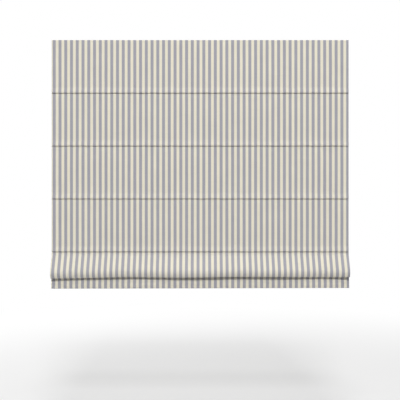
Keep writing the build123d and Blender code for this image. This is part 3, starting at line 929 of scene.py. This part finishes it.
def face_rows(sizes, stations, shift, back_line, banded):
    """Rows of a face cloth: its front, and at each side the turn and the band of the stations in a range."""
    half = BLIND_WIDTH / 2 - sizes.thickness / 2
    widest = (sizes.crease_depth + sizes.band_depth - sizes.face_depth) / 2
    columns = columns_across(half - widest, sizes.column_step)
    edge = columns[-1]
    rows = []
    for order, station in enumerate(stations):
        cells = plain_row(station, columns, sizes.face_depth, shift)
        front = behind(station, sizes.face_depth)
        radius = (back_line(station) - front).length / 2
        middle = half - radius
        band = middle - (BLIND_WIDTH / 2 - sizes.side_hem)
        for side in (-1, 1):
            base = front + shift(station, side * edge)
            inner = back_line(station) + shift(station, side * edge)
            for part in range(1, TURN_PARTS + BAND_PARTS + 1):
                turned = part / TURN_PARTS
                if order not in banded:
                    # A row with no band stops halfway round the turn, at the blind's side
                    if turned > 0.5:
                        break
                    point = base.copy()
                    out = edge + (half - edge) * turned * 2
                    across = edge + pi * widest * turned
                elif turned <= 1:
                    point = base.lerp(inner, (1 - cos(pi * turned)) / 2)
                    out = middle + radius * sin(pi * turned)
                    across = edge + pi * widest * turned
                else:
                    inward = band * (part - TURN_PARTS) / BAND_PARTS
                    point = inner.copy()
                    out = middle - inward
                    across = edge + pi * widest + inward
                point.x = side * out
                column = -part if side < 0 else len(columns) - 1 + part
                cells[column] = (point, (side * across, -station.path))
        rows.append(cells)
    return rows


def mesh_from_rows(name, rows):
    """A mesh of quads through rows of points, with the cloth's own coordinates. A row may lack columns."""
    index = {}
    points = []
    places = []
    for row, cells in enumerate(rows):
        for column, (point, place) in cells.items():
            index[row, column] = len(points)
            points.append(point)
            places.append(place)
    faces = []
    for row, column in sorted(index):
        corners = [(row, column), (row + 1, column), (row + 1, column + 1), (row, column + 1)]
        if all(corner in index for corner in corners):
            faces.append([index[corner] for corner in corners])
    mesh = bpy.data.meshes.new(name)
    mesh.from_pydata(points, [], faces)
    layer = mesh.uv_layers.new(name="cloth")
    for loop in mesh.loops:
        layer.data[loop.index].uv = places[loop.vertex_index]
    mesh.validate()
    piece = bpy.data.objects.new(name, mesh)
    bpy.context.scene.collection.objects.link(piece)
    return piece


class BLIND_OT_face_cloth(Operator):
    """Hang the striped face cloth: its header, its flat drop and its gathered pleat"""

    bl_idname = "blind.face_cloth"
    bl_label = "Face Cloth"

    def execute(self, context):
        sizes = context.scene.blind_cloth
        trim = context.scene.blind_trim
        valley = valley_front(sizes)
        header = self.lay_header(sizes)
        turned_in = sum(station.heading < STRAIGHT_DOWN for station in header)
        drop = stations_along(flat_run(sizes), header[-1], sizes.row_step)
        upper = stations_along(lined_run(sizes), drop[-1], sizes.row_step)
        pleat = upper + self.lay_hem(sizes, upper[-1])[1:]
        hang_unevenly = pleat_shift(sizes, drop[-1].path)

        def flat_band(station):
            return Vector((0.0, valley + sizes.band_depth, station.z))

        def pleat_band(station):
            return behind(station, sizes.band_depth)

        made = []
        for name, stations, shift, band, banded, body in (
            ("face_header", header, no_shift, flat_band, range(turned_in, len(header)), "headrail"),
            ("face_drop", drop, panel_shift(sizes), flat_band, range(len(drop)), "headrail"),
            ("face_pleat", pleat, hang_unevenly, pleat_band, range(len(upper)), "gathered_bottom"),
        ):
            piece = mesh_from_rows(name, face_rows(sizes, stations, shift, band, banded))
            thicken(piece, sizes.thickness)
            made.append(dress(piece, "ticking_stripe", body, "face_cloth", "face_cloth"))
        face_header, face_drop, face_pleat = made
        stitch = model_stitch(trim)
        side_stitches = sew_side_hems(sizes, trim, stitch)
        dress(side_stitches, "sewing_thread", "headrail", "face_cloth")
        hem_stitches = sew_bottom_hem(sizes, trim, stitch, pleat[-1], hang_unevenly)
        dress(hem_stitches, "sewing_thread", "gathered_bottom", "face_cloth")
        discard(stitch)
        fold_with_lift(face_drop)
        fold_with_lift(side_stitches)
        return {"FINISHED"}

    def lay_header(self, sizes):
        """Stations from the edge turned in over the top to the fold's anchor."""
        first = Station(panel_front(sizes) + sizes.top_turn, CLOTH_TOP, -pi / 2, 0.0)
        run = [
            straight(sizes.top_turn - sizes.top_radius),
            bend(sizes.top_radius, pi / 2),
            straight(CLOTH_TOP - sizes.top_radius - FOLD_ANCHOR),
        ]
        return stations_along(run, first, sizes.row_step)

    def lay_hem(self, sizes, first):
        """Stations down the hem's front, round the bar and up to the hem's top edge."""
        run = [
            straight(sizes.hem_turn_up + sizes.thickness),
            bend(sizes.hem_radius, pi),
            straight(sizes.hem_turn_up),
        ]
        return stations_along(run, first, sizes.row_step * HEM_ROW_SHARE)


class BLIND_OT_lining(Operator):
    """Hang the plain lining between the side hems"""

    bl_idname = "blind.lining"
    bl_label = "Lining"

    def execute(self, context):
        sizes = context.scene.blind_cloth
        half = BLIND_WIDTH / 2 - sizes.side_hem - sizes.lining_gap
        columns = columns_across(half, sizes.column_step * LINING_COLUMN_SHARE)
        top = CLOTH_TOP - sizes.thickness - sizes.lining_gap
        first = Station(valley_front(sizes), top, STRAIGHT_DOWN, 0.0)
        header = stations_along([straight(top - FOLD_ANCHOR)], first, sizes.row_step)
        panels = [straight(first_panel(sizes))] + [straight(sizes.panel_pitch) for seam in FLAT_SEAMS[1:]]
        drop = stations_along(panels, header[-1], sizes.row_step)
        pleat = stations_along(lined_run(sizes), drop[-1], sizes.row_step)
        made = []
        for name, stations, shift, body in (
            ("lining_header", header, no_shift, "headrail"),
            ("lining_drop", drop, panel_shift(sizes, LINING_STAND_SHARE), "headrail"),
            ("lining_pleat", pleat, pleat_shift(sizes, drop[-1].path), "gathered_bottom"),
        ):
            rows = [plain_row(station, columns, sizes.lining_depth, shift) for station in stations]
            piece = mesh_from_rows(name, rows)
            thicken(piece, sizes.lining_thickness)
            dress(piece, "lining_sateen", body, "lining", "lining")
            made.append((piece, stations[-1].path - stations[0].path))
        fold_with_lift(made[1][0])
        return {"FINISHED"}


# Stitches
def model_stitch(trim):
    """One stitch: a plump strand whose ends dive into the cloth."""
    deselect_all()
    bpy.ops.mesh.primitive_uv_sphere_add(segments=6, ring_count=6, radius=1.0, rotation=(0, pi / 2, 0))
    stitch = bpy.context.object
    bpy.ops.object.transform_apply(location=False, rotation=True, scale=False)
    stitch.scale = (
        trim.stitch_length / 2, trim.thread * STITCH_HEIGHT_SHARE, trim.thread * STITCH_WIDTH_SHARE
    )
    bpy.ops.object.transform_apply(location=False, rotation=False, scale=True)
    select_parts(stitch, "VERT", lambda vertex: abs(vertex.co.x) > trim.stitch_length * STITCH_END_SHARE)
    bpy.ops.transform.translate(value=(0.0, -trim.thread * STITCH_DIVE_SHARE, 0.0))
    bpy.ops.object.mode_set(mode="OBJECT")
    return stitch


def sew_line(name, stitch, first, step, count):
    """A line of copies of a stitch: the first laid by a matrix, the others a step apart."""
    line = copy_of(stitch, first)
    line.name = name
    line.data.name = name
    apply_modifier(
        line, "ARRAY", count=count, use_relative_offset=False, use_constant_offset=True,
        constant_offset_displace=step,
    )
    bpy.ops.object.shade_smooth()
    return line


def sew_tape(name, trim, stitch, seat, half):
    """A row of machine stitches along the top of a tape's flange."""
    count = int(2 * half / trim.stitch_pitch)
    depth = trim.tape_front + trim.tape_thickness + trim.thread / 2
    first = Vector((-trim.stitch_pitch * (count - 1) / 2, depth, trim.tape_above * TAPE_ROW_SHARE))
    return sew_line(name, stitch, seat @ Matrix.Translation(first), (trim.stitch_pitch, 0.0, 0.0), count)


def sew_side_hems(sizes, trim, stitch):
    """Slanting hand stitches that hold the lining to each side hem, sunk in it and clear of the tapes."""
    depth = valley_front(sizes) + sizes.band_depth + sizes.thickness / 2 - trim.thread / 2
    edge = BLIND_WIDTH / 2 - sizes.side_hem - sizes.lining_gap / 2
    lines = []
    for upper, lower in PANELS:
        count = int((upper - lower - 2 * trim.slip_clearance) / trim.slip_pitch)
        for side in (-1, 1):
            place = Matrix.Translation((side * edge, depth, upper - trim.slip_clearance))
            slant = Matrix.Rotation(side * trim.slip_slant, 4, "Y")
            lines.append(sew_line("side_stitch", stitch, place @ slant, (0.0, 0.0, -trim.slip_pitch), count))
    return join_pieces(lines, "side_stitches")


def sew_bottom_hem(sizes, trim, stitch, top, shift):
    """Hand stitches along the top of the hem, behind the skirt, from the hem's last station."""
    half = BLIND_WIDTH / 2 - sizes.side_hem
    count = int(2 * half / trim.slip_pitch)
    start = behind(top, sizes.face_depth - sizes.thickness / 2 - trim.thread / 2)
    start.x = -trim.slip_pitch * (count - 1) / 2
    lean = Matrix.Rotation(sizes.hem_top_lean - sizes.skirt_lean, 4, "X")
    first = Matrix.Translation(start) @ lean @ Matrix.Rotation(pi / 2, 4, "Y")
    stitches = sew_line("hem_stitches", stitch, first, (trim.slip_pitch, 0.0, 0.0), count)
    for vertex in stitches.data.vertices:
        vertex.co += shift(top, vertex.co.x)
    return stitches


# What lies on the back of the cloth
def rod_turn(number):
    """A rod's lean as a matrix: the gathered one leans with the skirt."""
    lean = 0.0 if number in FLAT_SEAMS else bpy.context.scene.blind_cloth.skirt_lean
    return Matrix.Rotation(-lean, 4, "X")


def rod_seat(number, depth):
    """A rod's seat as a matrix: X along the rod, Y towards the back and Z up, from its seam's front."""
    turn = rod_turn(number)
    origin = ROD_CENTRES[number] - turn.to_3x3() @ Vector((0.0, depth, 0.0))
    origin.x = 0.0
    return Matrix.Translation(origin) @ turn


def tape_flange(trim):
    """Section of a tape's flat flange, as depth and height."""
    middle = trim.tape_front + trim.tape_thickness / 2
    drop = trim.tape_above + trim.tape_below
    return [(middle, trim.tape_above - drop * part / FLANGE_PARTS) for part in range(FLANGE_PARTS + 1)]


def tape_pocket(trim, rod_depth):
    """Section of the pocket strip: sewn down above the rod, round it, and sewn down again below."""
    lie = trim.tape_front + trim.tape_thickness + trim.tape_thickness / 2
    foot = trim.tunnel_radius * sin(POCKET_TURN)
    arc = []
    for part in range(POCKET_PARTS + 1):
        turn = POCKET_TURN * (1 - 2 * part / POCKET_PARTS)
        arc.append((rod_depth + trim.tunnel_radius * cos(turn), trim.tunnel_radius * sin(turn)))
    heel = arc[0][0] - lie
    top = [(lie + out * heel, foot + up * heel) for out, up in POCKET_FOOT_SHARES]
    bottom = [(depth, -height) for depth, height in reversed(top)]
    return top + arc + bottom


class BLIND_OT_rod_tapes(Operator):
    """Sew a pocket tape over each rod, with its row of stitches"""

    bl_idname = "blind.rod_tapes"
    bl_label = "Rod Tapes"

    def execute(self, context):
        sizes = context.scene.blind_cloth
        trim = context.scene.blind_trim
        half = BLIND_WIDTH / 2 - trim.tape_inset
        sections = {"flange": tape_flange(trim), "pocket": tape_pocket(trim, sizes.rod_depth)}
        stitch = model_stitch(trim)
        for number, body in ROD_BODIES.items():
            seat = rod_seat(number, sizes.rod_depth)
            strips = []
            for part, section in sections.items():
                strip = self.weave_strip(f"tape_{part}_{number}", seat, section, half, number)
                thicken(strip, trim.tape_thickness * TAPE_BODY_SHARE)
                strips.append(strip)
            tape = join_pieces(strips, f"seam_tape_{number}")
            dress(tape, "woven_tape", body, "tape", f"rod_{number}_tape")
            stitches = sew_tape(f"tape_stitches_{number}", trim, stitch, seat, half - trim.tape_inset)
            dress(stitches, "sewing_thread", body, "tape")
        discard(stitch)
        return {"FINISHED"}

    def weave_strip(self, name, seat, section, half, number):
        """A strip of tape along a rod's seat, wandering a little."""
        columns = columns_across(half, TAPE_COLUMN_STEP)
        rows = []
        path = 0.0
        before = Vector(section[0])
        for depth, height in section:
            path += (Vector((depth, height)) - before).length
            before = Vector((depth, height))
            cells = {}
            for column, x in enumerate(columns):
                point = seat @ Vector((x, depth, height + waves_at(TAPE_WANDER, x, number)))
                cells[column] = (point, (x, -path))
            rows.append(cells)
        return mesh_from_rows(name, rows)


class BLIND_OT_cord_rings(Operator):
    """Sew three round cord rings behind each rod"""

    bl_idname = "blind.cord_rings"
    bl_label = "Cord Rings"

    def execute(self, context):
        trim = context.scene.blind_trim
        threads = [self.wind_thread(trim, offset) for offset in (-1, 0, 1)]
        bound_ring = join_pieces([self.mould_ring(trim), *threads], "bound_ring")
        for number, body in ROD_BODIES.items():
            node = f"rod_{number}_rings"
            low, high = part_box(node)
            middle = (low + high) / 2
            reach = high.x - trim.ring_radius - trim.ring_section
            made = []
            for place in (-reach, 0.0, reach):
                centre = Matrix.Translation((place, middle.y, middle.z))
                made.append(copy_of(bound_ring, centre @ rod_turn(number)))
            hang(join_pieces(made, f"cord_rings_{number}"), body, "ring", node)
        discard(bound_ring)
        return {"FINISHED"}

    def mould_ring(self, trim):
        """A moulded ring with a flattened section."""
        deselect_all()
        bpy.ops.mesh.primitive_torus_add(
            major_segments=40, minor_segments=12, major_radius=trim.ring_radius,
            minor_radius=trim.ring_section,
        )
        ring = bpy.context.object
        bpy.ops.object.mode_set(mode="EDIT")
        bpy.ops.mesh.select_all(action="SELECT")
        bpy.ops.transform.resize(value=(1.0, 1.0, RING_FLAT_SHARE))
        bpy.ops.object.mode_set(mode="OBJECT")
        bpy.ops.object.shade_smooth()
        paint(ring, "ring_moulding")
        return ring

    def wind_thread(self, trim, offset):
        """A turn of thread that binds a ring to its tape."""
        deselect_all()
        bpy.ops.mesh.primitive_torus_add(
            major_segments=18, minor_segments=6, major_radius=trim.ring_section * BINDING_SHARE,
            minor_radius=trim.thread, rotation=(0.0, pi / 2, 0.0),
        )
        turn = bpy.context.object
        bpy.ops.object.transform_apply(location=False, rotation=True, scale=False)
        select_parts(turn, "VERT", lambda vertex: vertex.co.y < 0.0)
        bpy.ops.transform.resize(value=BINDING_STRETCH, center_override=(0.0, 0.0, 0.0))
        bpy.ops.object.mode_set(mode="OBJECT")
        near = Vector((offset * trim.thread * BINDING_PITCH_SHARE, -trim.ring_radius, 0.0))
        turn.data.transform(Matrix.Translation(near))
        bpy.ops.object.shade_smooth()
        paint(turn, "sewing_thread")
        return turn


class BLIND_OT_rod_caps(Operator):
    """Push a rounded cap on each end of every rod"""

    bl_idname = "blind.rod_caps"
    bl_label = "Rod Caps"

    def execute(self, context):
        trim = context.scene.blind_trim
        for number, body in ROD_BODIES.items():
            cap = self.mould_cap(trim, number)
            ends = []
            for side in (-1, 1):
                mouth = ROD_CENTRES[number].copy()
                mouth.x = side * (ROD_BOXES[number][1].x - trim.cap_grip)
                outwards = Matrix.Rotation(side * pi / 2, 4, "Y")
                ends.append(copy_of(cap, Matrix.Translation(mouth) @ outwards))
            caps = join_pieces(ends, f"rod_caps_{number}")
            dress(caps, "moulded_parts", body, "moulding", f"rod_{number}_caps")
            discard(cap)
        return {"FINISHED"}

    def mould_cap(self, trim, number):
        """A cap standing on its mouth, with a bore for its rod and a rounded tip."""
        rod_low, rod_high = ROD_BOXES[number]
        radius = (rod_high.z - rod_low.z) / 2 + trim.cap_wall
        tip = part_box(f"rod_{number}_caps")[1].x - rod_high.x
        length = trim.cap_grip + tip
        deselect_all()
        bpy.ops.mesh.primitive_cylinder_add(vertices=24, radius=radius, depth=length)
        cap = bpy.context.object
        cap.data.transform(Matrix.Translation((0.0, 0.0, length / 2)))
        select_parts(cap, "FACE", lambda face: face.normal.z < -CAP_SQUARE)
        bpy.ops.mesh.inset(thickness=trim.cap_wall * CAP_MOUTH_SHARE)
        bpy.ops.mesh.extrude_region_move(TRANSFORM_OT_translate={"value": (0.0, 0.0, trim.cap_grip)})
        select_parts(
            cap, "FACE", lambda face: face.normal.z > CAP_SQUARE and face.center.z > length * CAP_END_SHARE
        )
        bpy.ops.mesh.bevel(offset=radius * CAP_TIP_SHARE, segments=4, affect="EDGES")
        bpy.ops.object.mode_set(mode="OBJECT")
        bpy.ops.object.shade_smooth_by_angle(angle=SMOOTH_ANGLE)
        return cap


class BLIND_OT_hard_parts(Operator):
    """Finish the rail, the rods, the bar and the lift"""

    bl_idname = "blind.hard_parts"
    bl_label = "Hard Parts"

    finish_of_slot = {
        "rail": "powder_coat",
        "moulding": "moulded_parts",
        "rod": "glass_fibre",
        "ring": "ring_moulding",
        "steel": "zinc_plate",
        "tape": "woven_tape",
        "face_cloth": "ticking_stripe",
        "lining": "lining_sateen",
    }
    finish_of_node = {
        "hook_tape": "hook_pile",
        "loop_tape": "loop_pile",
        "lift_spring": "spring_steel",
        "brake_spring": "spring_steel",
    }

    def execute(self, context):
        for part in frame["record"]["subparts"]:
            usual = self.finish_of_slot[part["material_slot"]]
            paint(frame["nodes"][part["node"]], self.finish_of_node.get(part["node"], usual))
        return {"FINISHED"}


class BLIND_OT_stage(Operator):
    """Set the floor, the camera and the lamps"""

    bl_idname = "blind.stage"
    bl_label = "Stage"

    def execute(self, context):
        stage = context.scene.blind_stage
        front = panel_front(context.scene.blind_cloth)
        context.scene.view_settings.view_transform = "Standard"
        cloth = Vector((stage.view_side, front, CLOTH_TOP - stage.view_drop))
        self.lay_floor(context, stage)
        self.set_camera(context, stage, cloth)
        self.light_world(context, stage)
        for name in LAMPS:
            self.hang_lamp(context, name, cloth, getattr(stage, name.removesuffix("_lamp")))
        return {"FINISHED"}

    def lay_floor(self, context, stage):
        """A pale floor that takes the blind's shadow and fades to white far off."""
        deselect_all()
        bpy.ops.mesh.primitive_plane_add(
            size=stage.floor_size, location=(0.0, 0.0, CLOTH_TOP - stage.floor_drop)
        )
        floor = context.object
        floor.name = "floor"
        matt = {"Roughness": 0.9, "Base Color": tinted(stage.floor_colour), "Specular IOR Level": 0.0}
        tree, shader = start_material("pale_floor", matt)
        white = add_node(tree, "ShaderNodeEmission")
        reach = add_node(tree, "ShaderNodeVectorMath", operation="LENGTH")
        feed(tree, reach.inputs[0], object_vector(tree))
        fade = spread(
            tree, reach.outputs["Value"], stage.floor_near, stage.floor_far, stage.floor_veil, 1.0,
            smooth=True,
        )
        veil = work_out(tree, "MULTIPLY", self.seen_directly(tree), fade)
        self.mix_shaders(tree, veil, shader, white, "Material Output")
        paint(floor, "pale_floor")

    def set_camera(self, context, stage, cloth):
        """The camera, straight in front of the blind."""
        camera = bpy.data.cameras.new("camera")
        camera.sensor_width = stage.sensor
        camera.lens = stage.sensor * stage.camera_distance / stage.view_span
        place = cloth - Vector((0.0, stage.camera_distance, 0.0))
        context.scene.camera = self.stand(context, camera, place, (pi / 2, 0.0, 0.0))

    def light_world(self, context, stage):
        """A soft surround that looks white and gives a little light."""
        world = bpy.data.worlds.new("soft_surround")
        context.scene.world = world
        world.use_nodes = True
        tree = world.node_tree
        lit = tree.nodes["Background"]
        white = add_node(tree, "ShaderNodeBackground")
        for background, strength in ((lit, stage.surround), (white, 1.0)):
            background.inputs["Color"].default_value = WHITE
            background.inputs["Strength"].default_value = strength
        self.mix_shaders(tree, self.seen_directly(tree), lit, white, "World Output")

    def hang_lamp(self, context, name, target, power):
        """A soft square lamp that points at the cloth."""
        bearing, rise, distance, size = LAMPS[name]
        offset = distance * Vector((cos(rise) * sin(bearing), -cos(rise) * cos(bearing), sin(rise)))
        lamp = bpy.data.lights.new(name, "AREA")
        lamp.size = size
        lamp.energy = power
        self.stand(context, lamp, target + offset, (-offset).to_track_quat("-Z", "Y").to_euler())

    def stand(self, context, data, place, turn):
        """Put a camera or a lamp in its place."""
        holder = bpy.data.objects.new(data.name, data)
        holder.location = place
        holder.rotation_euler = turn
        context.scene.collection.objects.link(holder)
        return holder

    def seen_directly(self, tree):
        """A mask of the rays that show a backdrop to the eye."""
        path = add_node(tree, "ShaderNodeLightPath")
        seen = work_out(tree, "MAXIMUM", path.outputs["Is Camera Ray"], path.outputs["Is Glossy Ray"])
        return work_out(tree, "MAXIMUM", seen, path.outputs["Is Transmission Ray"])

    def mix_shaders(self, tree, share, first, second, end):
        """Feed a mix of two shaders to the surface of an end node."""
        blend = add_node(tree, "ShaderNodeMixShader")
        for socket, value in zip(blend.inputs, (share, first.outputs[0], second.outputs[0])):
            feed(tree, socket, value)
        feed(tree, tree.nodes[end].inputs["Surface"], blend.outputs[0])


OPERATORS = (
    BLIND_OT_hard_parts,
    BLIND_OT_face_cloth,
    BLIND_OT_lining,
    BLIND_OT_rod_tapes,
    BLIND_OT_cord_rings,
    BLIND_OT_rod_caps,
    BLIND_OT_stage,
)


class BLIND_PT_sidebar(Panel):
    """The blind's sizes, colours and operators"""

    bl_idname = "BLIND_PT_sidebar"
    bl_label = "Roman Blind"
    bl_space_type = "VIEW_3D"
    bl_region_type = "UI"
    bl_category = "Blind"

    def draw(self, context):
        column = self.layout.column()
        for operator in OPERATORS:
            column.operator(operator.bl_idname)
        for name, group in SETTINGS.items():
            box = self.layout.box()
            for setting in group.__annotations__:
                box.prop(getattr(context.scene, name), setting)


def register():
    for name, group in SETTINGS.items():
        bpy.utils.register_class(group)
        setattr(bpy.types.Scene, name, PointerProperty(type=group))
    for operator in OPERATORS:
        bpy.utils.register_class(operator)
    bpy.utils.register_class(BLIND_PT_sidebar)


def unregister():
    bpy.utils.unregister_class(BLIND_PT_sidebar)
    for operator in reversed(OPERATORS):
        bpy.utils.unregister_class(operator)
    for name, group in SETTINGS.items():
        delattr(bpy.types.Scene, name)
        bpy.utils.unregister_class(group)


def main():
    register()
    make_finishes(bpy.context.scene.blind_colours)
    bpy.ops.blind.hard_parts()
    bpy.ops.blind.face_cloth()
    bpy.ops.blind.lining()
    bpy.ops.blind.rod_tapes()
    bpy.ops.blind.cord_rings()
    bpy.ops.blind.rod_caps()
    bpy.ops.blind.stage()


if __name__ == "__main__":
    main()
